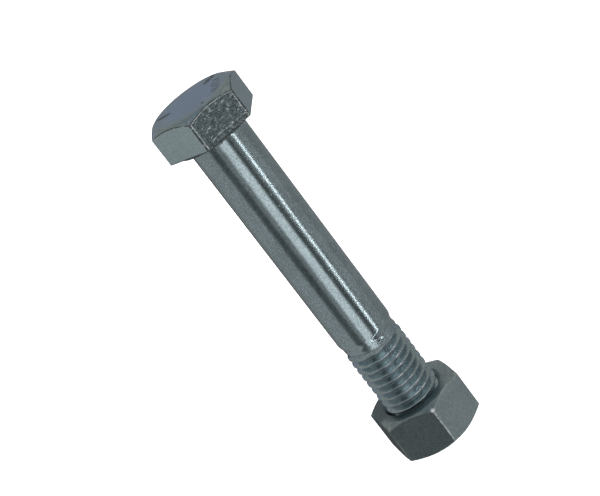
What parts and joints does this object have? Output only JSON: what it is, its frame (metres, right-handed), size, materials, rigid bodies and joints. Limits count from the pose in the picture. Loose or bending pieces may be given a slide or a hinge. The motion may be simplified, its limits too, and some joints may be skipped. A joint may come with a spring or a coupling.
{
  "type": "hex bolt",
  "caption": "Partly threaded hex-head bolt with a plain shank and a hex nut run onto its thread.",
  "frame": {"origin": "centre of the washer face under the bolt's head, where the head seats", "axes": "+Z along the bolt from the washer face to the head's outer face, so the shank, thread and nut lie along -Z; two opposite flats of the head face +Y and -Y"},
  "size_m": [0.0206, 0.0204, 0.0867],
  "materials": {
    "bolt_zinc": "bright zinc plate, satin, lightly scuffed",
    "nut_zinc": "darker zinc plate, satin"
  },
  "bodies": {
    "bolt": {"bolt": "bolt_zinc"},
    "nut": {"nut": "nut_zinc"}
  },
  "joints": [
    {"name": "nut_travel", "type": "slide", "parent": "bolt", "child": "nut", "axis": [0, 0, 1], "range_m": [-0.014, 0.014]}
  ]
}
